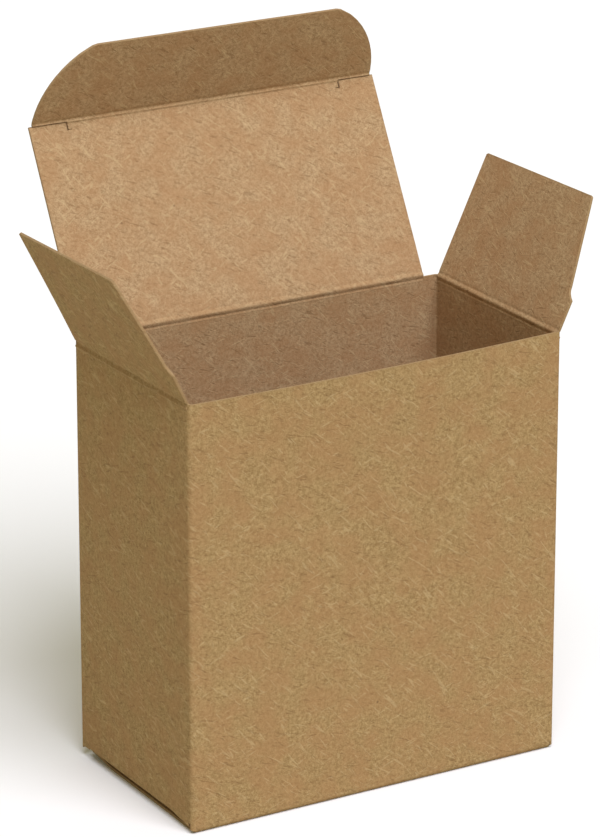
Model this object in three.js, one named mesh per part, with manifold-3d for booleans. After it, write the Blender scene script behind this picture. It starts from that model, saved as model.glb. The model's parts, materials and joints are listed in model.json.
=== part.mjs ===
// Reverse tuck folding carton of kraft paperboard, standing on its bottom with its top open.
// Units are millimetres and +Z is up. The front panel faces -Y and is wide along X.
// The origin is on the standing surface, at the middle of the carton's footprint.
// The top lid hinges on the back panel and the bottom lid on the front panel.
// Each lid carries a tuck flap, and each side panel a dust flap at the top and at the bottom.
import * as THREE from "three";
import { mergeVertices } from "three/addons/utils/BufferGeometryUtils.js";
import Module from "manifold-3d";

const wasm = await Module();
wasm.setup();

// The carton
const width = 96; // across the front panel, outside
const depth = 52.4; // front to back, outside
const height = 101.5; // to the front panel's cut top edge
const board = 0.6; // paperboard thickness
const creaseRadius = 1.1; // outer radius of the upright folds
const foldGap = 0.3; // open distance between two boards at a hinge crease
const layerGap = 0.15; // between layers that lie on each other when the carton is closed
const sideGap = 0.25; // between a folded dust flap and the panel beside it

// The lids
const lidInset = 1.4; // from the carton's outside to the lid's edge, at its hinge
const lidTaper = 1; // how much narrower the lid is on each side at its tuck flap
const tuckGap = 0.8; // between the tucked flap and the panel that it slides behind
const slitLength = 9.5; // each slit of the lock, in from the lid's edge
const slitHook = 2.4; // how far the slit's inner end turns into the lid
const slitKerf = 0.4; // width of the hooked end
const lidLean = 32; // degrees that the open top lid leans back from upright

// The tuck flaps
const tuckHeight = 21.2;
const tuckInset = 0.4; // how much narrower than the lid's end on each side
const tuckCornerRadius = 25.6;
const topTuckTurn = 54; // degrees that the top tuck flap is turned in from the open lid
const topTuckClosedTurn = 114; // the same once the lid is closed
const bottomTuckTurn = 96; // degrees that the bottom tuck flap is turned in from its lid

// The dust flaps
const dustLength = 30.9; // from its crease to its front tip
const dustRearDrop = 0.6; // how much shorter it is at the other end
const dustShoulder = 8; // length of the straight shoulder beside the tuck flap
const jogLength = 2.8; // length of the curved step above the shoulder
const jogDepth = 2.1;
const jogCorner = 0.84; // how far out the step's rounded inner corner is pulled
const dustTaper = 5.3; // how far the tapered edge runs in between the step and the tip
const dustLean = 25.5; // degrees that the open top dust flaps lean out from upright

// The bottom
const bottomFlatLength = 40; // of the bottom lid that lies on the standing surface
const bottomRise = 0.9; // how much its tucked end is lifted
const bottomDustHeight = 1.9; // underside of the folded bottom dust flaps
const bottomDustSetback = 3.2; // of their shoulder, so that the tuck flap slides past it
const backPanelFoot = 0.5; // height of the back panel's cut bottom edge

// The glue flap inside the left panel
const glueWidth = 12;
const glueEnd = 6; // from each end of the panel to the glue flap
const glueBevel = 4; // how much its free edge is shorter at each end

const arcSteps = 24;
const roundSteps = 16;

// Sizes that follow from the ones above
const halfWidth = width / 2;
const halfDepth = depth / 2;
const halfBoard = board / 2;
const innerDepth = halfDepth - board;
const creasePull = halfBoard + foldGap; // from a hinge axis to the board beside it
const lidPlane = height + layerGap + halfBoard; // mid-plane of the closed top lid
const dustPlane = height - halfBoard; // mid-plane of the folded top dust flaps
const bottomDustTop = bottomDustHeight + board;
const lidLength = depth - halfBoard - (board + tuckGap + halfBoard); // hinge axis to tuck flap axis
const lidHalfRoot = halfWidth - lidInset;
const lidHalfEnd = lidHalfRoot - lidTaper;
const tuckHalf = lidHalfEnd - tuckInset;
const slitInner = lidHalfEnd - slitLength;
const dustReach = innerDepth - sideGap;

const radians = THREE.MathUtils.degToRad;

// A geometry as a solid that can be joined and cut.
function solidOf(geometry) {
  const bare = new THREE.BufferGeometry();
  bare.setAttribute("position", geometry.getAttribute("position"));
  bare.setIndex(geometry.getIndex());
  const merged = mergeVertices(bare, 1e-4);
  const vertProperties = merged.getAttribute("position").array;
  const triVerts = new Uint32Array(merged.getIndex().array);
  return new wasm.Manifold(new wasm.Mesh({ numProp: 3, vertProperties, triVerts }));
}

// A solid as a geometry for a mesh.
function geometryOf(solid) {
  const made = solid.getMesh();
  const geometry = new THREE.BufferGeometry();
  geometry.setAttribute("position", new THREE.BufferAttribute(made.vertProperties, 3));
  geometry.setIndex(new THREE.BufferAttribute(made.triVerts, 1));
  geometry.computeVertexNormals();
  return geometry;
}

// A box between two corners.
function block(x0, x1, y0, y1, z0, z1) {
  const geometry = new THREE.BoxGeometry(x1 - x0, y1 - y0, z1 - z0);
  geometry.translate((x0 + x1) / 2, (y0 + y1) / 2, (z0 + z1) / 2);
  return solidOf(geometry);
}

// A shape drawn in X and Y, as a sheet one board thick about its own plane.
function sheet(shape) {
  const geometry = new THREE.ExtrudeGeometry(shape, {
    depth: board,
    bevelEnabled: false,
    curveSegments: arcSteps,
  });
  geometry.translate(0, 0, -halfBoard);
  return solidOf(geometry);
}

// A board's rounded edge along X, about its hinge axis.
function roundedRoot(x0, x1, y = 0, z = 0) {
  const geometry = new THREE.CylinderGeometry(halfBoard, halfBoard, x1 - x0, roundSteps);
  geometry.rotateZ(Math.PI / 2);
  geometry.translate((x0 + x1) / 2, y, z);
  return solidOf(geometry);
}

// A section drawn in Y and Z, carried along X from x0 to x1.
function alongX(section, x0, x1) {
  const geometry = new THREE.ExtrudeGeometry(section, {
    depth: x1 - x0,
    bevelEnabled: false,
    curveSegments: arcSteps,
  });
  const basis = new THREE.Matrix4().makeBasis(
    new THREE.Vector3(0, 1, 0),
    new THREE.Vector3(0, 0, 1),
    new THREE.Vector3(1, 0, 0),
  );
  geometry.applyMatrix4(basis);
  geometry.translate(x0, 0, 0);
  return solidOf(geometry);
}

// A rounded rectangle about the origin in X and Y.
function roundedRectangle(halfX, halfY, radius) {
  const shape = new THREE.Shape();
  shape.moveTo(-halfX + radius, -halfY);
  shape.lineTo(halfX - radius, -halfY);
  shape.absarc(halfX - radius, -halfY + radius, radius, -Math.PI / 2, 0);
  shape.lineTo(halfX, halfY - radius);
  shape.absarc(halfX - radius, halfY - radius, radius, 0, Math.PI / 2);
  shape.lineTo(-halfX + radius, halfY);
  shape.absarc(-halfX + radius, halfY - radius, radius, Math.PI / 2, Math.PI);
  shape.lineTo(-halfX, -halfY + radius);
  shape.absarc(-halfX + radius, -halfY + radius, radius, Math.PI, Math.PI * 1.5);
  return shape;
}

// The lid's two side cuts and the hooked slit ends, taken out of a lid from y0 to y1.
function cutLid(lid, y0, y1, thick) {
  const hookStart = y1 - slitHook;
  const sides = [-1, 1];
  return sides.reduce((left, side) => {
    const outline = new THREE.Shape();
    outline.moveTo(side * lidHalfRoot, y0 - board);
    outline.lineTo(side * lidHalfRoot, y0);
    outline.lineTo(side * lidHalfEnd, y1);
    outline.lineTo(side * lidHalfEnd, y1 + board);
    outline.lineTo(side * halfWidth, y1 + board);
    outline.lineTo(side * halfWidth, y0 - board);
    const trim = new THREE.ExtrudeGeometry(outline, { depth: 2 * thick, bevelEnabled: false });
    trim.translate(0, 0, -thick);
    const hookEnds = [slitInner, slitInner - slitKerf].map((x) => side * x).sort((a, b) => a - b);
    const hook = block(...hookEnds, hookStart, y1 + board, -thick, thick);
    return left.subtract(solidOf(trim)).subtract(hook);
  }, lid);
}

// The top lid, hinged about X at the origin and reaching along +Y. Its inner face is +Z.
function topLid() {
  const end = lidLength - creasePull - halfBoard;
  const plate = block(-halfWidth, halfWidth, 0, end, -halfBoard, halfBoard)
    .add(roundedRoot(-halfWidth, halfWidth))
    .add(roundedRoot(-halfWidth, halfWidth, end));
  return cutLid(plate, 0, lidLength, board);
}

// The bottom lid: flat on the standing surface, then curving up to its tucked end.
function bottomLid() {
  const end = lidLength - creasePull - halfBoard;
  const riseLength = end - bottomFlatLength;
  const riseAt = (y) => {
    const share = THREE.MathUtils.clamp((y - bottomFlatLength) / riseLength, 0, 1);
    return bottomRise * share * share * (3 - 2 * share);
  };
  const stepLength = riseLength / arcSteps;
  const steps = Array.from({ length: arcSteps + 1 }, (_, i) => bottomFlatLength + i * stepLength);
  const section = new THREE.Shape();
  section.moveTo(0, -halfBoard);
  steps.forEach((y) => section.lineTo(y, riseAt(y) - halfBoard));
  section.absarc(end, bottomRise, halfBoard, -Math.PI / 2, Math.PI / 2);
  [...steps].reverse().forEach((y) => section.lineTo(y, riseAt(y) + halfBoard));
  section.lineTo(0, halfBoard);
  section.absarc(0, 0, halfBoard, Math.PI / 2, Math.PI * 1.5);
  const plate = alongX(section, -halfWidth, halfWidth);
  return cutLid(plate, 0, lidLength, bottomRise + board);
}

// A tuck flap hinged about X at the origin and reaching along +Y, with its ends cut free by the slits.
function tuckFlap(relief) {
  const centre = tuckHalf - tuckCornerRadius;
  const cornerTop = Math.asin(tuckHeight / tuckCornerRadius);
  const reliefAngle = Math.asin(relief / tuckCornerRadius);
  const shape = new THREE.Shape();
  shape.moveTo(-slitInner, 0);
  shape.lineTo(slitInner, 0);
  shape.lineTo(slitInner, relief);
  shape.absarc(centre, 0, tuckCornerRadius, reliefAngle, cornerTop);
  shape.absarc(-centre, 0, tuckCornerRadius, Math.PI - cornerTop, Math.PI - reliefAngle);
  shape.lineTo(-slitInner, relief);
  return sheet(shape).add(roundedRoot(-slitInner, slitInner));
}

// How far a tuck flap's free ends start from its axis, to pass over a dust flap's far face.
function slitRelief(toFarFace, turn) {
  const lean = radians(Math.abs(turn - 90));
  return (toFarFace + sideGap) / Math.cos(lean) + halfBoard * Math.tan(lean);
}

// A dust flap's outline. X runs from the tuck flap's side, where the shoulder is, to the hinge side.
function dustOutline(shoulderReach, hingeReach) {
  const step = shoulderReach - jogDepth;
  const tip = step - dustTaper;
  const shape = new THREE.Shape();
  shape.moveTo(-shoulderReach, 0);
  shape.lineTo(hingeReach, 0);
  shape.lineTo(hingeReach, dustLength - dustRearDrop - board);
  shape.lineTo(hingeReach - board, dustLength - dustRearDrop);
  shape.lineTo(-tip + board, dustLength);
  shape.lineTo(-tip, dustLength - board);
  shape.lineTo(-step, dustShoulder + jogLength);
  shape.quadraticCurveTo(-step - jogCorner, dustShoulder, -shoulderReach, dustShoulder);
  return shape;
}

// A top dust flap hinged about X at the origin and reaching along +Y.
function dustFlap() {
  return sheet(dustOutline(dustReach, dustReach)).add(roundedRoot(-dustReach, dustReach));
}

// A bottom dust flap, folded in from the side panel at x = side * halfWidth, with its fold.
function foldedDustFlap(side) {
  const backReach = dustReach - bottomDustSetback;
  const frontReach = innerDepth - creaseRadius;
  const flap = new THREE.ExtrudeGeometry(dustOutline(backReach, frontReach), {
    depth: board,
    bevelEnabled: false,
    curveSegments: arcSteps,
  });
  // The outline's X runs towards the front and its Y towards the middle of the carton.
  const turn = new THREE.Matrix4().makeBasis(
    new THREE.Vector3(0, -1, 0),
    new THREE.Vector3(-side, 0, 0),
    new THREE.Vector3(0, 0, -side),
  );
  flap.applyMatrix4(turn);
  flap.translate(side * (halfWidth - board), 0, side > 0 ? bottomDustTop : bottomDustHeight);
  const fold = new THREE.CylinderGeometry(board, board, 2 * depth, 2 * roundSteps);
  fold.translate(side * (halfWidth - board), 0, bottomDustTop);
  const outside = [side * (halfWidth - board), side * halfWidth].sort((a, b) => a - b);
  const corner = block(...outside, -frontReach, backReach, bottomDustHeight, bottomDustTop);
  return solidOf(flap).add(solidOf(fold).intersect(corner));
}

// The glue flap: a second layer inside the left panel, next to the back panel.
function glueFlap() {
  const low = bottomDustTop + glueEnd;
  const high = height - glueEnd;
  const root = innerDepth + board / 4; // inside the fold at the back panel
  const shape = new THREE.Shape();
  shape.moveTo(root, low);
  shape.lineTo(root, high);
  shape.lineTo(innerDepth - glueWidth, high - glueBevel);
  shape.lineTo(innerDepth - glueWidth, low + glueBevel);
  const inner = -halfWidth + board;
  return alongX(shape, inner - board / 4, inner + board);
}

// The four panels as one folded sheet, with the glue flap and the folded bottom dust flaps.
function sleeve() {
  const ring = roundedRectangle(halfWidth, halfDepth, creaseRadius);
  ring.holes.push(roundedRectangle(halfWidth - board, innerDepth, creaseRadius - board));
  const tube = new THREE.ExtrudeGeometry(ring, {
    depth: height - backPanelFoot,
    bevelEnabled: false,
    curveSegments: roundSteps,
  });
  tube.translate(0, 0, backPanelFoot);
  const over = 1; // how far a cutting block runs past what it cuts
  const sideTop = dustPlane - creasePull;
  const frontFoot = halfBoard + creasePull;
  const backTop = lidPlane - creasePull;
  const inX = halfWidth - board - over;
  const sideEnd = innerDepth - layerGap;
  const outX = halfWidth + over;
  const outY = halfDepth + over;
  let panels = solidOf(tube);
  [-1, 1].forEach((side) => {
    const [x0, x1] = [side * inX, side * outX].sort((a, b) => a - b);
    const above = block(x0, x1, -sideEnd, sideEnd, sideTop, height + over);
    const below = block(x0, x1, -sideEnd, sideEnd, -over, bottomDustTop);
    panels = panels.subtract(above).subtract(below);
  });
  const frontBelow = block(-outX, outX, -outY, -sideEnd, -over, frontFoot);
  const backEnd = lidHalfRoot + layerGap;
  const backAbove = block(-backEnd, backEnd, innerDepth - over, outY, backTop, height + over);
  panels = panels.subtract(frontBelow).subtract(backAbove);
  return panels.add(glueFlap()).add(foldedDustFlap(-1)).add(foldedDustFlap(1));
}

// Finishes
const kraft = new THREE.MeshStandardMaterial({ color: 0xaa8b62, roughness: 0.9, metalness: 0 });
const kraftInside = new THREE.MeshStandardMaterial({ color: 0xb08e62, roughness: 0.92, metalness: 0 });

function piece(name, solid, material) {
  const mesh = new THREE.Mesh(geometryOf(solid), material);
  mesh.name = name;
  return mesh;
}

// A group whose X and Y axes lie along two directions, with its origin on a hinge axis.
function hingeFrame(origin, along, up) {
  const group = new THREE.Group();
  const normal = new THREE.Vector3().crossVectors(along, up);
  group.setRotationFromMatrix(new THREE.Matrix4().makeBasis(along, up, normal));
  group.position.copy(origin);
  return group;
}

const carton = new THREE.Group();
carton.add(piece("sleeve", sleeve(), kraft));

// The top lid stands open, with its tuck flap turned in.
const lidTurn = radians(90 - lidLean);
const topLidFrame = hingeFrame(
  new THREE.Vector3(0, halfDepth - halfBoard, lidPlane),
  new THREE.Vector3(1, 0, 0),
  new THREE.Vector3(0, Math.cos(lidTurn), Math.sin(lidTurn)),
);
topLidFrame.add(piece("top_lid", topLid(), kraftInside));
const topTuckFrame = new THREE.Group();
topTuckFrame.position.y = lidLength;
topTuckFrame.rotation.x = radians(topTuckTurn);
const topRelief = slitRelief(lidPlane - dustPlane + halfBoard, topTuckClosedTurn);
topTuckFrame.add(piece("top_tuck_flap", tuckFlap(topRelief), kraftInside));
topLidFrame.add(topTuckFrame);
carton.add(topLidFrame);

// The top dust flaps stand open on the side panels.
const dustTurn = radians(dustLean);
[
  ["top_dust_flap_left", -1],
  ["top_dust_flap_right", 1],
].forEach(([name, side]) => {
  const frame = hingeFrame(
    new THREE.Vector3(side * (halfWidth - halfBoard), 0, dustPlane),
    new THREE.Vector3(0, 1, 0),
    new THREE.Vector3(side * Math.sin(dustTurn), 0, Math.cos(dustTurn)),
  );
  frame.add(piece(name, dustFlap(), kraft));
  carton.add(frame);
});

// The bottom lid is closed, with its tuck flap inside the back panel.
const bottomLidFrame = new THREE.Group();
bottomLidFrame.position.set(0, -halfDepth + halfBoard, halfBoard);
bottomLidFrame.add(piece("bottom_lid", bottomLid(), kraft));
const bottomTuckFrame = new THREE.Group();
bottomTuckFrame.position.set(0, lidLength, bottomRise);
bottomTuckFrame.rotation.x = radians(bottomTuckTurn);
const bottomRelief = slitRelief(bottomDustTop - halfBoard - bottomRise, bottomTuckTurn);
bottomTuckFrame.add(piece("bottom_tuck_flap", tuckFlap(bottomRelief), kraft));
bottomLidFrame.add(bottomTuckFrame);
carton.add(bottomLidFrame);

export default carton;
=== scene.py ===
"""The looks of a kraft paperboard reverse tuck folding carton, standing open on a pale floor.

Every board is a thin sheet built as a grid of cells between two faces, with a rim of its own
along the cut edges. A hinged flap is one piece with its fold, and bends across the crease.
Lengths in the tables below are millimetres, unless a comment says metres.
"""

import json
import math

import bmesh
import bpy
import numpy as np
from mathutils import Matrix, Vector, noise


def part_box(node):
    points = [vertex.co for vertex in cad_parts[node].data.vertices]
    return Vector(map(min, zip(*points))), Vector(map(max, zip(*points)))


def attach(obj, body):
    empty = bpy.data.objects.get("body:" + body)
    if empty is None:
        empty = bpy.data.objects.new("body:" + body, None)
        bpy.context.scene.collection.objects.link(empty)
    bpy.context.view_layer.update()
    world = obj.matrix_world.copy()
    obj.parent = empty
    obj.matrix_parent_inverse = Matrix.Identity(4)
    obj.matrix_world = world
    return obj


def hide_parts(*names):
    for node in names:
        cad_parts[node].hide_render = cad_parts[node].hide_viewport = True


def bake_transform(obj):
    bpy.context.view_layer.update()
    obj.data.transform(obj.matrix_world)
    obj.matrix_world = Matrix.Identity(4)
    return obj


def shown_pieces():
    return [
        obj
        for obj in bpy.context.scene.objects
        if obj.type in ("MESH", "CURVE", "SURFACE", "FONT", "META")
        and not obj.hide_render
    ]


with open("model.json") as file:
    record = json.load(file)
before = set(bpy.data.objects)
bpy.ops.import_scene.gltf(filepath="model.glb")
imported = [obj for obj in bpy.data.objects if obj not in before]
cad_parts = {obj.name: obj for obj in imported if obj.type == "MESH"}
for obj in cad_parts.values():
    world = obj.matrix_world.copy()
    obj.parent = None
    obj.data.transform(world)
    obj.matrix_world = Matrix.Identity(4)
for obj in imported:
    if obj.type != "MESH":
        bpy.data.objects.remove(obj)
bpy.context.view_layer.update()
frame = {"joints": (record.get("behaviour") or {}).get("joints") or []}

MM = 0.001
UP = Vector((0, 0, 1))
ALONG_X = Vector((1, 0, 0))
ALONG_Y = Vector((0, 1, 0))

# Sizes of the carton, read from the frame but for the ease of its loose sleeve
joints = {joint["name"]: joint for joint in frame["joints"]}
sleeve_low, sleeve_high = (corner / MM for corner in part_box("sleeve"))
lid_low, lid_high = (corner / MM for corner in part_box("top_lid"))
EASE = 0.3  # how far each side panel stands outside its true place
WIDTH = sleeve_high.x - sleeve_low.x + 2 * EASE
DEPTH = sleeve_high.y - sleeve_low.y
HEIGHT = sleeve_high.z
HALF_WIDTH = WIDTH / 2
HALF_DEPTH = DEPTH / 2


def hinge_point(name):
    """Where a hinge's axis crosses the middle of its crease."""
    return Vector(joints[name]["pos_m"]) / MM


LID_LENGTH = (hinge_point("top_tuck_fold") - hinge_point("top_lid_fold")).length
BOW_LOSS = 0.65  # by which the open lid's bow brings its crease nearer to the hinge
OPEN_LID_LENGTH = LID_LENGTH - BOW_LOSS
# Fully closed, a flap lies level, so its upper limit tells how far it leans from upright
LID_LEAN = math.radians(joints["top_lid_fold"]["range_deg"][1] - 90)
DUST_LEAN = math.radians(joints["left_dust_fold"]["range_deg"][1] - 90)

# Sizes of the board and its folds
BOARD = 0.6
CORNER_RADIUS = 1.1  # outside, on the upright folds
FOLD_REACH = 0.6  # from a hinge axis to where the fold's bend starts
FOLD_START = 1.4  # from a hinge axis to where a hinged piece leaves the sleeve's mesh
BEAD_HEIGHT = 0.2  # of the ridge that scoring leaves on the inner face
BEAD_WIDTH = 0.36
CREASE_WANDER = 0.16  # how far that ridge strays from the crease line
CREASE_CHANGE = 0.8  # share by which its height changes along the crease
WANDER_WAVE = (4, 5)  # length and seed of that straying
CHANGE_WAVE = (5, 9)  # length and seed of that change
VALLEY_SHARE = 0.45  # depth of the valley on either side of the ridge, as a share of its height
VALLEY_AT = 0.85  # from the crease line
VALLEY_WIDTH = 0.25
GROOVE_DEPTH = 0.24  # of the channel on the outer face
GROOVE_WIDTH = 0.42
LIP_HEIGHT = 0.2  # of the swelling beside that channel, on the parent's side
LIP_AT = 0.95
LIP_WIDTH = 0.28
CREASE_HIGHLIGHT_REACH = 0.7  # how far the painted highlight of a crease reaches
UPRIGHT_HIGHLIGHT = 0.3  # how much of that painted highlight the upright folds have
RIM_BULGE = 0.05  # how far a cut edge swells past the faces
RIM_LEAST, RIM_MORE = 0.6, 0.8  # shares of that swelling: what is always there, what varies
RIM_WAVES = 1.7  # how quickly it varies, per millimetre
RIM_HEIGHTS = (0.55, 0.0, -0.55)  # of the rim's points, in shares of half the board
OUTLINE_MARK = 0.5  # how much a face's outline counts as cut edge
RIPPLE = 0.035  # the faint unevenness of the board
SLOW_WAVE, QUICK_WAVE = 19, 6  # lengths of its waves
QUICK_SHARE = 0.35
QUICK_SEED = 7  # added to the seed of the slow waves
LID_RIPPLE, TUCK_RIPPLE, DUST_RIPPLE = 11, 21, 3  # seeds
RIPPLE_FADE = (0.6, 6)  # from a crease, over which the ripple of a flap sets in
LID_FADE = (0.6, 8)  # the same for the lid, at both its creases
PANEL_FADE = 0.08  # the same for a panel, as a share of its width

# Cells of the meshes
CELL = 2.4
TUCK_CELL = 1.8
DUST_CELL = 2.0
SLEEVE_CELL = 2.6
GLUE_CELL = 3
END_CELL = 0.3  # the narrow one beside each end
NEAREST = 0.06  # a row nearer than this to another is left out
PAST_FOLD = 1.6  # from a crease, where a flap's even rows start
BEND_SHARES = (-1, -0.66, -0.33, 0, 0.33, 0.66, 1)  # rows over the bend
RELIEF_BEFORE = [-1.2, -1.05, -0.95, -0.8, -0.68]  # rows that follow the relief beside it
RELIEF_AFTER = [0.75, 0.95, 1.2, PAST_FOLD]
CORNER_STEPS = 8  # round each upright fold
DUST_COLUMNS = 22
JOG_ROWS = 7
LOWEST_ROW = 0.6  # of the rows beside a cut of the sleeve
ON_LINE = 0.01  # how near to a line a point counts as on it
TINY = 1e-6  # a shorter length counts as nothing

# Sizes of the flaps
LID_HALF_ROOT = (lid_high.x - lid_low.x) / 2
LID_TAPER = 1.0
TUCK_INSET = 0.8  # of the tuck flap from each end of the lid
TUCK_HALF = LID_HALF_ROOT - LID_TAPER - TUCK_INSET
TUCK_HEIGHT = 20.7
TUCK_RADIUS = 23.5
TUCK_CORNER = 1.0  # small rounding where the quarter round meets the straight edge
TOP_TUCK_TURN = math.radians(54)
BOTTOM_TUCK_TURN = math.radians(96)
SLIT_LENGTH = 9.5
SLIT_INNER = LID_HALF_ROOT - LID_TAPER - SLIT_LENGTH
SLIT_HOOK = 1.9  # how far the slit turns back into the lid
HOOK_TURN = 1.1  # how far the slit's end turns back along the crease
SLIT_WIDTH = 0.16
SLIT_EDGE = 0.11  # from the crease line to the cut edge on either side
SLIT_SHADE = 0.22  # how far the painted shade at a slit's edge reaches into the board
SLIT_NEAR = 0.1  # how near to a slit's side a point counts as beside it
SLIT_CREASE = 0.5  # how far past the slit's inner end the tuck flap's crease still has its painted highlight
SLIT_STEPS = np.array([0, 0.04, 0.27, 0.5, 0.73, 0.96, 1])  # columns over a slit
DUST_LENGTH = 31.6
DUST_REAR_DROP = 0.6
DUST_SHOULDER = 8.0
JOG_LENGTH = 2.8
JOG_DEPTH = 2.1
JOG_CURVE = 2.2  # power of its curve
DUST_TAPER = 5.3
DUST_CORNER = 0.5  # rounding of the tips
DUST_CLEARANCE = 0.25
DUST_REACH = HALF_DEPTH - BOARD - DUST_CLEARANCE
BOTTOM_SETBACK = 3.2  # by which the bottom dust flaps are narrower on their tuck side
BOTTOM_FLAT = 40.0  # length of the bottom lid that lies on the floor
BOTTOM_RISE = (hinge_point("bottom_tuck_fold") - hinge_point("bottom_lid_fold")).z
BOTTOM_DUST_PLANE = 2.6  # height of the folded bottom dust flaps
SIDE_FOOT = BOTTOM_DUST_PLANE + FOLD_START  # where the bottom dust flap's own mesh takes over
BOTTOM_LID_HALF = HALF_WIDTH - CORNER_RADIUS
GLUE_WIDTH = 12.0
GLUE_LOW = BOTTOM_DUST_PLANE + 6.3
GLUE_HIGH = HEIGHT - 6
GLUE_TAPER = 8  # by which its free edge is shorter
GLUE_LAYER = 1.5 * BOARD  # from the outside to the middle of the second layer
BACK_CHAMFER = 9.0  # length that is cut higher at each end of the back panel's lower edge
BACK_FOOT = 0.5  # height of the back panel's lower edge
CORNER_FOOT = 0.7  # height of the lower cut of the two front folds
FOOT_ROUNDING = 0.6  # how much higher that cut is where it meets the side panel
REAR_SIDE_FOOT = 2.8  # height of a side panel's lower edge behind its folded dust flap

# How the standing carton has relaxed out of true
FRONT_BULGE = 1.3  # of the front panel's free top edge
BULGE_LOW = 0.12  # share of that bulge which goes down to the foot
BULGE_GROWTH = 1.6  # power with which the rest grows upwards
BULGE_START = (0.5, 14)  # heights over which it sets in
FRONT_RISE = (-0.3, 0.45)  # of the left and right end of that edge
RISE_DEPTH = 22  # how far down the panel follows its edge
SIDE_BULGE = 0.5  # of the side and back panels
FOOT_SAG = (0.7, 0.9)  # of the side panels' folded feet, along their length and at the front
SAG_FRONT = (12, 1)  # distances from the front panel over which the second of them sets in
SAG_FLAP = (1.5, 12)  # distances from the crease over which the bottom dust flap loses its sag
SAG_TOP = 16  # height at which the side panels have lost theirs
LID_SWAY = (-1.6, 0.2)  # of the open lid's hinge and far end along X
OPEN_LID_HALF = 45.6  # half the open lid's width, as the photograph shows it
LID_BOW = 0.35
TUCK_CURL = 0.2
TUCK_CURL_LOSS = 0.4  # share of it that is lost towards the ends
DUST_CURL = {-1: -0.65, 1: -0.1}  # of the tips of the left and right flap
DUST_CURL_GROWTH = 1.5  # power with which it grows upwards
DUST_TWIST = 0.15  # share by which it differs between the middle and the rear edge


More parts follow.
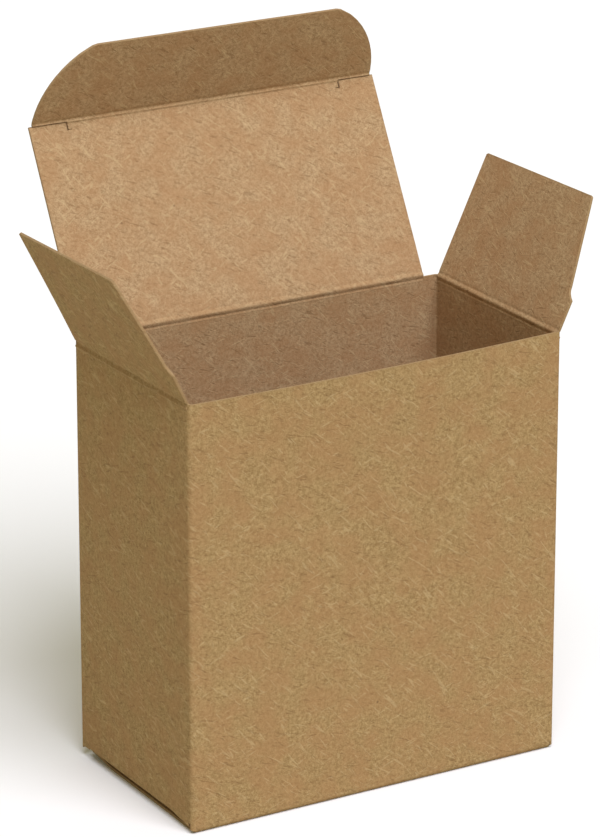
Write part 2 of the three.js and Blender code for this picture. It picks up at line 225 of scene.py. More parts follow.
class Sheet:
    """A board as a grid of cells in its own flat coordinates, laid on a surface in space.

    rows are the values of v, and columns gives the values of u at each. keep tells at a cell's
    middle whether board is there. surface gives a point's place, normal and relief. crease gives the
    painted highlight along the folds, joined the ends that meet another board, and the last mark the
    painted shade along a slit's edges, which stands for the shadow in its gap.
    """

    def __init__(self, name, rows, columns, keep, surface, crease=None, joined=None, painted_shade=None):
        self.name = name + "_board"
        self.rows = rows
        self.columns = columns
        self.keep = keep
        self.surface = surface
        self.crease = crease or (lambda u, v: 0.0)
        self.joined = joined or (lambda u, v: False)
        self.painted_shade = painted_shade or (lambda u, v: False)
        self.points = []
        self.faces = []
        self.marks = {"cut_edge": [], "inner_face": [], "crease": [], "painted_shade": []}

    def put(self, u, v, share, edge, inner):
        """A point at share of the board's half thickness above its middle, +1 on the inner face."""
        place, normal, inner_rise, outer_rise = self.surface(u, v)
        half = BOARD / 2 + (inner_rise if share > 0 else outer_rise)
        self.points.append(place + normal * (share * half))
        self.marks["cut_edge"].append(edge)
        self.marks["inner_face"].append(inner)
        self.marks["crease"].append(self.crease(u, v))
        self.marks["painted_shade"].append(float(self.painted_shade(u, v)))
        return len(self.points) - 1

    def build(self):
        """Lays out the cells where board is, as two faces and a rim, and makes the object."""
        grid = [[(u, v) for u in self.columns(v)] for v in self.rows]
        cells = [
            (i, j)
            for j in range(len(grid) - 1)
            for i in range(len(grid[j]) - 1)
            if self.keep(*self.middle(grid, i, j))
        ]
        rim = self.rim_edges(cells)
        outward = self.outward(grid, rim)
        top, bottom = {}, {}
        for i, j in cells:
            for key in ((i, j), (i + 1, j), (i + 1, j + 1), (i, j + 1)):
                if key not in top:
                    u, v = grid[key[1]][key[0]]
                    edge = OUTLINE_MARK if key in outward else 0.0
                    top[key] = self.put(u, v, 1, edge, 1.0)
                    bottom[key] = self.put(u, v, -1, edge, 0.0)
            corners = ((i, j), (i + 1, j), (i + 1, j + 1), (i, j + 1))
            self.faces.append([top[key] for key in corners])
            self.faces.append([bottom[key] for key in reversed(corners)])
        self.add_rim(grid, rim, outward, top, bottom)
        return self.mesh_object(len(cells) * 2)

    def middle(self, grid, i, j):
        """The middle of a cell, in flat coordinates."""
        corners = (grid[j][i], grid[j][i + 1], grid[j + 1][i + 1], grid[j + 1][i])
        return sum(c[0] for c in corners) / 4, sum(c[1] for c in corners) / 4

    def rim_edges(self, cells):
        """Directed edges that only one cell has, with the board on their left."""
        edges = set()
        for i, j in cells:
            loop = ((i, j), (i + 1, j), (i + 1, j + 1), (i, j + 1))
            for a, b in zip(loop, loop[1:] + loop[:1]):
                if (b, a) in edges:
                    edges.remove((b, a))
                else:
                    edges.add((a, b))
        return sorted(edges)

    def outward(self, grid, rim):
        """The direction away from the board at each rim point, in flat coordinates."""
        found = {}
        for a, b in rim:
            pa, pb = Vector(grid[a[1]][a[0]]), Vector(grid[b[1]][b[0]])
            along = pb - pa
            if along.length < TINY:
                continue
            normal = Vector((along.y, -along.x)).normalized()
            for key in (a, b):
                found[key] = found.get(key, Vector((0, 0))) + normal
        return {key: way.normalized() if way.length > TINY else way for key, way in found.items()}

    def add_rim(self, grid, rim, outward, top, bottom):
        """The cut edge, as a strip of faces from the inner face round to the outer one."""
        ribs = {}
        for key, way in outward.items():
            u, v = grid[key[1]][key[0]]
            bulge = 0.0 if self.joined(u, v) else RIM_BULGE
            rough = 0.5 + 0.5 * noise.noise(Vector((u * RIM_WAVES, v * RIM_WAVES, len(self.name))))
            du, dv = way * bulge * (RIM_LEAST + RIM_MORE * rough)
            edge = 0.0 if self.joined(u, v) else 1.0
            ribs[key] = [
                top[key],
                *(self.put(u + du, v + dv, share, edge, 0.5) for share in RIM_HEIGHTS),
                bottom[key],
            ]
        for a, b in rim:
            if a not in ribs or b not in ribs:
                continue
            for n in range(len(RIM_HEIGHTS) + 1):
                self.faces.append([ribs[a][n], ribs[a][n + 1], ribs[b][n + 1], ribs[b][n]])

    def mesh_object(self, flat_faces):
        """The object, with its marks. Its first flat_faces faces are those of the two sides."""
        mesh = bpy.data.meshes.new(self.name)
        points = [tuple(p * MM) for p in self.points]
        mesh.from_pydata(points, [], self.faces)
        mesh.validate()
        shell = bmesh.new()
        shell.from_mesh(mesh)
        bmesh.ops.recalc_face_normals(shell, faces=shell.faces[:])
        shell.to_mesh(mesh)
        shell.free()
        mesh.update()
        for face in mesh.polygons:
            face.use_smooth = True
        sharp = self.sharp_edges(mesh, flat_faces)
        attribute = mesh.attributes.new("sharp_edge", "BOOLEAN", "EDGE")
        attribute.data.foreach_set("value", sharp)
        rest = mesh.attributes.new("board_place", "FLOAT_VECTOR", "POINT")
        rest.data.foreach_set("vector", np.array(points, np.float32).ravel())
        for mark, values in self.marks.items():
            layer = mesh.attributes.new(mark, "FLOAT", "POINT")
            layer.data.foreach_set("value", np.array(values, np.float32))
        made = bpy.data.objects.new(self.name, mesh)
        bpy.context.scene.collection.objects.link(made)
        return made

    def sharp_edges(self, mesh, flat_faces):
        """Edges where a face of the board meets its rim."""
        kinds = {}
        for index, face in enumerate(mesh.polygons):
            for key in face.edge_keys:
                kinds.setdefault(key, set()).add(index < flat_faces)
        return [len(kinds[tuple(sorted(edge.vertices))]) > 1 for edge in mesh.edges]


def steps(low, high, size):
    """Evenly spaced values from low to high, about size apart, with a close one by each end."""
    inset = min(END_CELL, (high - low) / 4)
    count = max(2, round((high - low - 2 * inset) / size))
    inner = np.linspace(low + inset, high - inset, count + 1)
    return [low, *inner.tolist(), high]


def merged(*lists):
    """Sorted values of several lists. One that nearly repeats an earlier one is left out."""
    kept = []
    for value in (value for some in lists for value in some):
        if all(abs(value - other) > NEAREST for other in kept):
            kept.append(value)
    return sorted(kept)


def ripple(u, v, seed):
    """The faint unevenness of board that has been cut, folded and handled."""
    slow = noise.noise(Vector((u / SLOW_WAVE, v / SLOW_WAVE, seed)))
    quick = noise.noise(Vector((u / QUICK_WAVE, v / QUICK_WAVE, seed + QUICK_SEED)))
    return RIPPLE * (slow + QUICK_SHARE * quick)


def hump(value, middle, width):
    """1 at the middle, and nearly nothing two widths away from it."""
    return math.exp(-(((value - middle) / width) ** 2))


def smooth(value, low, high):
    """0 up to low and 1 from high on, with a soft rise between."""
    share = max(0.0, min(1.0, (value - low) / (high - low)))
    return share * share * (3 - 2 * share)


class Fold:
    """A sheet that leaves its parent's plane across a crease and runs on in a second plane.

    u is along the hinge axis. v is along the sheet, from the crease, negative on the parent's side.
    """

    def __init__(self, origin, along, parent_up, flap_up, inner_sign=1, lip=LIP_HEIGHT):
        self.origin = origin
        self.along = along
        self.parent_up = parent_up.normalized()
        self.flap_up = flap_up.normalized()
        self.angle = self.parent_up.angle(self.flap_up)
        self.inner_sign = inner_sign
        self.lip = lip
        self.half_arc = FOLD_REACH * self.angle / (2 * math.tan(self.angle / 2))
        self.radius = 2 * self.half_arc / self.angle
        inside = self.flap_up - self.parent_up
        self.bend_to = (inside - self.parent_up * inside.dot(self.parent_up)).normalized()

    def place(self, u, v):
        """Point and direction of v, without any warp."""
        if v <= -self.half_arc:
            start = self.parent_up * (v + self.half_arc - FOLD_REACH)
            return self.origin + self.along * u + start, self.parent_up
        if v >= self.half_arc:
            run = self.flap_up * (v - self.half_arc + FOLD_REACH)
            return self.origin + self.along * u + run, self.flap_up
        turn = (v + self.half_arc) / self.radius
        arc = self.parent_up * (math.sin(turn) * self.radius - FOLD_REACH)
        arc = arc + self.bend_to * ((1 - math.cos(turn)) * self.radius)
        way = self.parent_up * math.cos(turn) + self.bend_to * math.sin(turn)
        return self.origin + self.along * u + arc, way

    def wave(self, u, length, seed):
        """A slow change along the crease, between -1 and 1."""
        return noise.noise(Vector((u / length, self.angle, seed)))

    def surface(self, u, v, warp=0.0, shift=0.0):
        """What a Sheet asks for: point, normal to the inner face, and the crease's relief."""
        place, way = self.place(u + shift, v)
        normal = self.along.cross(way) * self.inner_sign
        wander = CREASE_WANDER * self.wave(u, *WANDER_WAVE)
        swell = 1 + CREASE_CHANGE * self.wave(u, *CHANGE_WAVE)
        valleys = VALLEY_SHARE * hump(abs(v), VALLEY_AT, VALLEY_WIDTH)
        bead = BEAD_HEIGHT * swell * (hump(v, wander, BEAD_WIDTH) - valleys)
        groove = -GROOVE_DEPTH * hump(v, 0, GROOVE_WIDTH)
        lip = self.lip * hump(v, -LIP_AT, LIP_WIDTH)
        return place + normal * warp, normal, bead, groove + lip

    def first_row(self):
        """The value of v at the sleeve's edge."""
        return -(FOLD_START - FOLD_REACH + self.half_arc)

    def rows(self):
        """Values of v that follow the bend and the relief beside it."""
        bend = [self.half_arc * share for share in BEND_SHARES]
        return merged(RELIEF_BEFORE, bend, RELIEF_AFTER)

    def crease(self, u, v):
        """How much of a crease's painted highlight a point has."""
        return hump(v, 0, CREASE_HIGHLIGHT_REACH)

    def bend(self, piece, parent, child):
        """Bakes the piece's placement into its mesh."""
        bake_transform(piece)


def make_lid(name, parent, fold, length, edge, shape, shift):
    """A lid with its fold. edge gives half its width along v, shape the lift of the sheet off
    its plane, and shift its sway."""
    end = length - FOLD_REACH
    hook_start = length - SLIT_HOOK
    hook_side = SLIT_INNER - SLIT_WIDTH
    hook_turn = SLIT_INNER - HOOK_TURN

    def columns(v):
        """The same number of columns at every row, with lines along the slits' ends."""
        outer = SLIT_INNER + (edge(v) - SLIT_INNER) * SLIT_STEPS
        beside = hook_side - SLIT_SHADE
        inner = [-hook_side, -beside, *steps(-hook_turn, hook_turn, CELL), beside, hook_side]
        return [*(-u for u in reversed(outer)), *inner, *outer]

    def keep(u, v):
        """Leaves out the hooked slits and the strip that the tuck flap's fold takes up."""
        in_hook = v > hook_start and hook_side < abs(u) < SLIT_INNER
        in_turn = hook_start - SLIT_WIDTH < v < hook_start and hook_turn < abs(u) < SLIT_INNER
        return not in_hook and not in_turn and not (v > end and abs(u) < SLIT_INNER)

    def painted_shade(u, v):
        """True on the edges of a slit, which get painted shade for the shadow in the slit's gap."""
        on_crease = abs(u) > SLIT_INNER - ON_LINE and v > length - 2 * SLIT_EDGE
        beside_hook = hook_side - SLIT_NEAR < abs(u) < SLIT_INNER + SLIT_NEAR
        return on_crease or (beside_hook and v > hook_start - 2 * SLIT_WIDTH)

    hook_foot = hook_start - SLIT_WIDTH
    hook_rows = [hook_foot - SLIT_SHADE, hook_foot, hook_start]
    end_rows = [end, length - SLIT_EDGE - SLIT_SHADE, length - SLIT_EDGE]
    even_rows = steps(PAST_FOLD, end, CELL)
    rows = merged([fold.first_row()], hook_rows, end_rows, fold.rows(), even_rows)
    piece = Sheet(
        name,
        rows,
        columns,
        keep,
        lambda u, v: fold.surface(u, v, shape(u, v), shift(v)),
        fold.crease,
        lambda u, v: v < 0 or (abs(u) < SLIT_INNER and v > end - ON_LINE),
        painted_shade,
    ).build()
    fold.bend(piece, parent, name)
    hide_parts(name)


def tuck_edge(v):
    """Half the tuck flap's width at height v: a quarter round that stops at a corner."""
    arc = TUCK_HALF - TUCK_RADIUS + math.sqrt(max(0.0, TUCK_RADIUS**2 - max(0.0, v) ** 2))
    corner = max(0.0, v - TUCK_HEIGHT + TUCK_CORNER) / TUCK_CORNER
    return arc - TUCK_CORNER * (1 - math.sqrt(max(0.0, 1 - corner**2)))


def tuck_columns(v):
    """The same number of columns at every height, drawn in with the flap's edge."""
    narrowing = tuck_edge(v) / TUCK_HALF
    inner = [u * narrowing for u in steps(-SLIT_INNER, SLIT_INNER, CELL)]
    outer = (SLIT_INNER + (TUCK_HALF - SLIT_INNER) * SLIT_STEPS[1:]) * narrowing
    return [*(-u for u in reversed(outer)), *inner, *outer]


def make_tuck_flap(name, parent, fold, shape, shift):
    """A tuck flap with its fold, which ends in a slit at either side."""
    slit_rows = [SLIT_EDGE, SLIT_EDGE + SLIT_SHADE]
    even_rows = steps(PAST_FOLD, TUCK_HEIGHT, TUCK_CELL)
    rows = merged([-fold.half_arc], slit_rows, fold.rows(), even_rows)
    rows = [v for v in rows if v >= -fold.half_arc]
    piece = Sheet(
        name,
        rows,
        tuck_columns,
        lambda u, v: v > SLIT_EDGE or abs(u) < SLIT_INNER,
        lambda u, v: fold.surface(u, v, shape(u, v), shift),
        # painted highlight along the crease, which stops near the slits
        lambda u, v: fold.crease(u, v) if abs(u) < SLIT_INNER + SLIT_CREASE else 0.0,
        lambda u, v: v < -fold.half_arc + ON_LINE,
        # painted shade along the slits' edges, for the shadow in their gaps
        lambda u, v: abs(u) > SLIT_INNER - SLIT_NEAR and v < 2 * SLIT_EDGE,
    ).build()
    fold.bend(piece, parent, name)
    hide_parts(name)


def dust_edges(v, shoulder, hinge_side):
    """The dust flap's two edges at height v: the one beside the tuck flap, and the other."""
    v = min(v, DUST_LENGTH)
    step = shoulder - JOG_DEPTH
    if v <= DUST_SHOULDER:
        near = shoulder
    elif v <= DUST_SHOULDER + JOG_LENGTH:
        share = (v - DUST_SHOULDER) / JOG_LENGTH
        near = shoulder - JOG_DEPTH * (1 - max(0.0, 1 - share) ** JOG_CURVE)
    else:
        share = (v - DUST_SHOULDER - JOG_LENGTH) / (DUST_LENGTH - DUST_SHOULDER - JOG_LENGTH)
        near = step - DUST_TAPER * share
    corner = min(1.0, max(0.0, v - DUST_LENGTH + DUST_CORNER) / DUST_CORNER)
    round_off = DUST_CORNER * (1 - math.sqrt(1 - corner**2))
    return round_off - near, hinge_side - round_off


def dust_sheet(name, fold, shoulder, hinge_side, curl, turned, sag=lambda u, v: 0.0):
    """A dust flap. turned is -1 if its tuck side is towards +u. sag lowers it."""

    def columns(v):
        near, far = dust_edges(v, shoulder, hinge_side)
        even = np.linspace(near + END_CELL, far - END_CELL, DUST_COLUMNS)
        values = [near, *even.tolist(), far]
        return values if turned > 0 else [-u for u in reversed(values)]

    jog_rows = np.linspace(DUST_SHOULDER, DUST_SHOULDER + JOG_LENGTH, JOG_ROWS).tolist()
    even_rows = steps(PAST_FOLD, DUST_LENGTH, DUST_CELL)
    rows = merged([fold.first_row()], fold.rows(), jog_rows, even_rows)

    def height(u, v):
        """The far tip is a little lower than the near one."""
        share = (u * turned + shoulder) / (shoulder + hinge_side)
        return v - DUST_REAR_DROP * share * smooth(v, DUST_SHOULDER, DUST_LENGTH)

    def surface(u, v):
        place, *rest = fold.surface(u, height(u, v), curl(u, v))
        return place - UP * sag(u, v), *rest

    return Sheet(
        name,
        rows,
        columns,
        lambda u, v: True,
        surface,
        fold.crease,
        lambda u, v: v < fold.first_row() + ON_LINE,
    ).build()


def make_top_dust_flap(name, joint, side):
    """Hinged on a side panel, and curled towards its tip. side is -1 for left and 1 for right."""
    lean = Vector((side * math.sin(DUST_LEAN), 0, math.cos(DUST_LEAN)))
    origin = hinge_point(joint) + ALONG_X * (side * EASE)
    fold = Fold(origin, ALONG_Y, UP, lean, -side)

    def curl(u, v):
        share = max(0.0, v) / DUST_LENGTH
        twist = 1 - DUST_TWIST + DUST_TWIST * u / DUST_REACH
        bow = DUST_CURL[side] * share**DUST_CURL_GROWTH * twist
        return bow + ripple(u, v, DUST_RIPPLE + side) * smooth(v, *RIPPLE_FADE)

    piece = dust_sheet(name, fold, DUST_REACH, DUST_REACH, curl, 1)
    fold.bend(piece, "sleeve", name)
    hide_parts(name)


def foot_sag(y):
    """How far a side panel's folded foot sags, most of all beside the front panel."""
    along, at_front = FOOT_SAG
    share = max(0.0, min(1.0, 0.5 - y / DEPTH))
    start, full = (HALF_DEPTH - distance for distance in SAG_FRONT)
    return along * share + at_front * smooth(-y, start, full)


def make_bottom_dust_flap(name, side):
    """Folded in over the bottom lid, and fixed to the sleeve."""
    origin = Vector((side * (HALF_WIDTH - BOARD / 2), 0, BOTTOM_DUST_PLANE))
    fold = Fold(origin, ALONG_Y, -UP, Vector((-side, 0, 0)), side, 0.0)
    shoulder = DUST_REACH - BOTTOM_SETBACK
    hinge_side = HALF_DEPTH - BOARD - CORNER_RADIUS

    def sag(u, v):
        return foot_sag(u) * (1 - smooth(v, *SAG_FLAP))

    piece = dust_sheet(name, fold, shoulder, hinge_side, lambda u, v: 0.0, -1, sag)
    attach(piece, "sleeve")


def perimeter():
    """Stations round the sleeve, from the glued corner: (middle line point, outward normal,
    panel, share along it)."""
    x, y = HALF_WIDTH - CORNER_RADIUS, HALF_DEPTH - CORNER_RADIUS
    radius = CORNER_RADIUS - BOARD / 2
    side_x, side_y = HALF_WIDTH - BOARD / 2, HALF_DEPTH - BOARD / 2
    flap_end = DUST_REACH - BOTTOM_SETBACK
    # Each panel: start, end, the direction it faces in degrees, and where a cut needs a column
    sides = (
        ("left", Vector((-side_x, y)), Vector((-side_x, -y)), 180, [y - flap_end]),
        ("front", Vector((-x, -side_y)), Vector((x, -side_y)), -90, []),
        ("right", Vector((side_x, -y)), Vector((side_x, y)), 0, [y + flap_end]),
        ("back", Vector((x, side_y)), Vector((-x, side_y)), 90, [x - OPEN_LID_HALF - LID_SWAY[0]]),
    )
    stations = []
    for panel, start, end, angle, cuts in sides:
        facing = Vector((math.cos(math.radians(angle)), math.sin(math.radians(angle))))
        length = (end - start).length
        for step in merged(steps(0, length, CELL), cuts):
            stations.append((start.lerp(end, step / length), facing, panel, step / length))
        centre = end - facing * radius
        for turn in np.linspace(0, 90, CORNER_STEPS)[1:-1]:
            way = math.radians(angle + turn)
            facing_way = Vector((math.cos(way), math.sin(way)))
            stations.append((centre + facing_way * radius, facing_way, panel + " fold", 0.0))
    stations.append(stations[0])
    return stations


def sheet_span(panel, middle):
    """The lowest and highest cut of the sleeve's sheet, for a cell at that middle."""
    lid_root = hinge_point("top_lid_fold").z - FOLD_START
    dust_root = hinge_point("left_dust_fold").z - FOLD_START
    side_edge = BOTTOM_DUST_PLANE - BOARD / 2
    if panel == "front":
        return hinge_point("bottom_lid_fold").z + FOLD_START, HEIGHT
    if panel in ("left", "right"):
        beyond_flap = middle.y > DUST_REACH - BOTTOM_SETBACK
        return (REAR_SIDE_FOOT if beyond_flap else SIDE_FOOT), dust_root
    if panel == "back":
        beyond_lid = middle.x > OPEN_LID_HALF + LID_SWAY[0]
        low = side_edge if abs(middle.x) > HALF_WIDTH - BACK_CHAMFER else BACK_FOOT
        return low, (HEIGHT if beyond_lid else lid_root)
    if panel in ("front fold", "left fold"):
        share = (middle.y + HALF_DEPTH) / CORNER_RADIUS
        return CORNER_FOOT + FOOT_ROUNDING * share**2, HEIGHT
    return side_edge, HEIGHT


def side_sag(y, facing, height):
    """How far the sleeve follows its sagging feet, fading upwards and round the corner."""
    share = min(1.0, (height - CORNER_FOOT) / (SIDE_FOOT - CORNER_FOOT))
    return foot_sag(y) * abs(facing.x) * share * (1 - smooth(height, SIDE_FOOT, SAG_TOP))


def panel_bulge(panel, share, height):
    """How far a panel has bowed outwards. Its hinged edges stay straight."""
    across = 4 * share * (1 - share)
    if panel == "front":
        growth = BULGE_LOW + (1 - BULGE_LOW) * (height / HEIGHT) ** BULGE_GROWTH
        return FRONT_BULGE * across * growth * smooth(height, *BULGE_START)
    if panel in ("left", "right", "back"):
        return SIDE_BULGE * across * math.sin(math.pi * max(0.0, min(1.0, height / HEIGHT)))
    return 0.0


def front_rise(x, facing, height):
    """How far the front panel's free edge stands out of level, fading round its corners."""
    left, right = FRONT_RISE
    tilt = left + (right - left) * (x / WIDTH + 0.5)
    return tilt * max(0.0, -facing.y) * smooth(height, HEIGHT - RISE_DEPTH, HEIGHT)


def make_sleeve():
    """The four panels, cut to their own heights, as one folded sheet."""
    stations = perimeter()

    def span(u):
        first, second = stations[int(u)], stations[min(int(u) + 1, len(stations) - 1)]
        return sheet_span(first[2], (first[0] + second[0]) / 2)

    cuts = sorted({height for u in range(len(stations)) for height in span(u)})
    beside = [height + step for height in cuts for step in (-END_CELL, END_CELL)]
    beside = [height for height in beside if LOWEST_ROW < height < HEIGHT]
    rows = merged(cuts, merged(steps(BACK_FOOT, HEIGHT, SLEEVE_CELL), beside))
    columns = list(range(len(stations)))

    def keep(u, v):
        low, high = span(u)
        return low < v < high

    def surface(u, v):
        index = int(round(u))
        fraction = u - index
        point, facing, panel, share = stations[index % len(stations)]
        other = stations[min(len(stations) - 1, max(0, index + (1 if fraction > 0 else -1)))]
        flat = point.lerp(other[0], min(1.0, abs(fraction)))
        normal = Vector((facing.x, facing.y, 0))
        lift = panel_bulge(panel, share, v)
        if " fold" not in panel:
            still = smooth(share, 0, PANEL_FADE) * smooth(1 - share, 0, PANEL_FADE)
            lift += ripple(flat.x + flat.y, v, len(panel)) * still
        height = v + front_rise(flat.x, facing, v) - side_sag(flat.y, facing, v)
        place = Vector((flat.x, flat.y, height)) + normal * lift
        return place, -normal, 0.0, 0.0

    def joined(u, v):
        panel = stations[int(round(u)) % len(stations)][2]
        low, high = span(int(round(u)))
        hinged_top = panel in ("left", "right", "back") and v > high - ON_LINE
        hinged_foot = panel in ("left", "right", "front") and v < low + ON_LINE
        return hinged_top or hinged_foot

    # the rounded upright folds get part of the crease's painted highlight
    def crease(u, v):
        on_fold = " fold" in stations[int(round(u)) % len(stations)][2]
        return UPRIGHT_HIGHLIGHT if on_fold else 0.0

    piece = Sheet("sleeve", rows, lambda v: columns, keep, surface, crease, joined).build()
    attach(piece, "sleeve")
    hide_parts("sleeve")


def make_glue_flap():
    """The second layer inside the left panel, next to the back panel."""
    start = HALF_DEPTH - BOARD
    middle = (GLUE_LOW + GLUE_HIGH) / 2

    def columns(v):
        return [-u for u in reversed(steps(-start, -(start - GLUE_WIDTH), CELL))]

    def surface(u, v):
        share = (start - u) / GLUE_WIDTH
        height = middle + (v - middle) * (1 - share * GLUE_TAPER / (GLUE_HIGH - GLUE_LOW))
        return Vector((-HALF_WIDTH + GLUE_LAYER, u, height)), ALONG_X, 0.0, 0.0

    rows = steps(GLUE_LOW, GLUE_HIGH, GLUE_CELL)
    piece = Sheet("glue_flap", rows, columns, lambda u, v: True, surface).build()
    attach(piece, "sleeve")


def top_lid_shift(v):
    """The open lid's sway at v."""
    at_hinge, at_end = LID_SWAY
    return at_hinge + (at_end - at_hinge) * max(0.0, v) / OPEN_LID_LENGTH


def top_lid_shape(u, v):
    """The open lid's bow and ripple."""
    bow = LID_BOW * math.sin(math.pi * max(0.0, min(1.0, v / OPEN_LID_LENGTH)))
    still = smooth(v, *LID_FADE) * smooth(OPEN_LID_LENGTH - v, *LID_FADE)
    return -bow * (1 - (u / HALF_WIDTH) ** 2) + ripple(u, v, LID_RIPPLE) * still


def top_tuck_shape(u, v):
    """The top tuck flap's curl and ripple."""
    along = 1 - TUCK_CURL_LOSS * (u / HALF_WIDTH) ** 2
    curl = TUCK_CURL * (max(0.0, v) / TUCK_HEIGHT) ** 2 * along
    return -curl + ripple(u, v, TUCK_RIPPLE) * smooth(v, *RIPPLE_FADE)


def bottom_lid_shape(u, v):
    """Flat on the floor, then curving up to its tucked end."""
    return BOTTOM_RISE * smooth(v, BOTTOM_FLAT, LID_LENGTH - FOLD_REACH)


def bottom_lid_edge(v):
    """Half the bottom lid's width at v."""
    return BOTTOM_LID_HALF - LID_TAPER * max(0.0, min(1.0, v / LID_LENGTH))


def make_top_closure():
    """The open lid with its tuck flap, and the two dust flaps beside it."""
    lid_up = Vector((0, math.sin(LID_LEAN), math.cos(LID_LEAN)))
    lid_fold = Fold(hinge_point("top_lid_fold"), ALONG_X, UP, lid_up)
    make_lid(
        "top_lid",
        "sleeve",
        lid_fold,
        OPEN_LID_LENGTH,
        lambda v: OPEN_LID_HALF,
        top_lid_shape,
        top_lid_shift,
    )
    turn = LID_LEAN - TOP_TUCK_TURN
    tuck_up = Vector((0, math.sin(turn), math.cos(turn)))
    crease_line = hinge_point("top_lid_fold") + lid_up * OPEN_LID_LENGTH
    tuck_fold = Fold(crease_line, ALONG_X, lid_up, tuck_up)
    make_tuck_flap("top_tuck_flap", "top_lid", tuck_fold, top_tuck_shape, LID_SWAY[1])
    make_top_dust_flap("top_dust_flap_left", "left_dust_fold", -1)
    make_top_dust_flap("top_dust_flap_right", "right_dust_fold", 1)


def make_bottom_closure():
    """The closed lid under the carton with its tuck flap, and the two dust flaps over it."""
    lid_fold = Fold(hinge_point("bottom_lid_fold"), ALONG_X, -UP, ALONG_Y, lip=0.0)
    make_lid(
        "bottom_lid",
        "sleeve",
        lid_fold,
        LID_LENGTH,
        bottom_lid_edge,
        bottom_lid_shape,
        lambda v: 0.0,
    )
    tuck_up = Vector((0, math.cos(BOTTOM_TUCK_TURN), math.sin(BOTTOM_TUCK_TURN)))
    tuck_fold = Fold(hinge_point("bottom_tuck_fold"), ALONG_X, ALONG_Y, tuck_up)
    make_tuck_flap("bottom_tuck_flap", "bottom_lid", tuck_fold, lambda u, v: 0.0, 0.0)
    make_bottom_dust_flap("bottom_dust_flap_left", -1)
    make_bottom_dust_flap("bottom_dust_flap_right", 1)


def linear(red, green, blue):
    """A colour given as it is seen on a screen, 0 to 255, as the light that it stands for."""

    def channel(value):
        share = value / 255
        return share / 12.92 if share <= 0.04045 else ((share + 0.055) / 1.055) ** 2.4

    return (channel(red), channel(green), channel(blue), 1.0)


class Graph:
    """Short calls for making and joining shader nodes."""

    def __init__(self, tree):
        self.tree = tree

    def node(self, kind, inputs=(), **settings):
        """A new node with its settings, and with its inputs set or joined."""
        made = self.tree.nodes.new(kind)
        for name, value in settings.items():
            setattr(made, name, value)
        for name, value in dict(inputs).items():
            self.feed(made.inputs[name], value)
        return made

    def feed(self, socket, value):
        if isinstance(value, bpy.types.NodeSocket):
            self.tree.links.new(value, socket)
        else:
            socket.default_value = value

    def math(self, operation, a, b):
        return self.node("ShaderNodeMath", {0: a, 1: b}, operation=operation).outputs[0]

    def ranged(self, value, low, high, to_low=0.0, to_high=1.0):
        """The value spread softly from between low and high to between to_low and to_high."""
        ends = {"From Min": low, "From Max": high, "To Min": to_low, "To Max": to_high}
        made = self.node("ShaderNodeMapRange", {"Value": value, **ends}, interpolation_type="SMOOTHSTEP")
        return made.outputs["Result"]

    def tinted(self, share, a, b):
        """Colour a, with that share of colour b mixed in."""
        made = self.node("ShaderNodeMix", data_type="RGBA")
        self.feed(made.inputs[0], share)
        self.feed(made.inputs[6], a)
        self.feed(made.inputs[7], b)
        return made.outputs[2]

    def mark(self, name):
        """A number that the board's mesh carries at each point."""
        return self.node("ShaderNodeAttribute", attribute_name=name).outputs["Fac"]

    def noise(self, place, scale, detail, rough, distortion=0.0):
        look = {"Scale": scale, "Detail": detail, "Roughness": rough, "Distortion": distortion}
        return self.node("ShaderNodeTexNoise", {"Vector": place, **look}).outputs["Fac"]

    def seen_directly(self):
        """1 for rays that show the thing itself, in the open or in a mirror or a glass."""
        rays = self.node("ShaderNodeLightPath").outputs
        shown = self.math("MAXIMUM", rays["Is Camera Ray"], rays["Is Glossy Ray"])
        return self.math("MAXIMUM", shown, rays["Is Transmission Ray"])


def new_group(name, inputs, outputs):
    """An empty shader group with named sockets, and the graph to fill it."""
    group = bpy.data.node_groups.new(name, "ShaderNodeTree")
    for socket, kind in inputs:
        group.interface.new_socket(socket, in_out="INPUT", socket_type=kind)
    for socket, kind in outputs:
        group.interface.new_socket(socket, in_out="OUTPUT", socket_type=kind)
    graph = Graph(group)
    return group, graph, graph.node("NodeGroupInput"), graph.node("NodeGroupOutput")


# Patterns of the kraft board. A noise has its scale per metre, detail and roughness.
CLOUD = (160.0, 2.0, 0.5)
MOTTLE = (1250.0, 4.0, 0.72)
GRAIN = (4300.0, 2.0, 0.6)
FIBRE_STRETCH = (1.0, 0.16, 0.16)
FIBRE_NOISE = (1.5, 0.5, 0.6)  # detail, roughness and distortion
FIBRE_CUT = (0.62, 0.74)  # values of that noise between which a streak sets in
# Layers of fibres, and of the gaps between fibres, which are hollows in the relief and get painted
# shade: each has a turn and a scale per metre
PALE_FIBRES = (((0.3, 0.9, 0.2), 1500.0), ((1.2, 0.1, 1.9), 1900.0), ((1.18, 0.0, 0.72), 1300.0))
SHADED_GAPS = (((1.9, 0.0, 1.1), 1750.0), ((1.2, 0.0, 1.32), 2050.0))
SPECK_SCALE = 210.0
SPECK_EDGE = (0.03, 0.085)  # distances from a speck's middle over which it fades, in cells
SPECK_CHOICE = (0.78, 0.95)  # only cells with a random number above these have a speck
RELIEF_SHARES = {"Mottle": 0.6, "Grain": 0.25, "Fibres": 0.3, "Gaps": 0.3}
RELIEF_STRENGTH = 0.7
RELIEF_DEPTH = 0.00012  # in metres

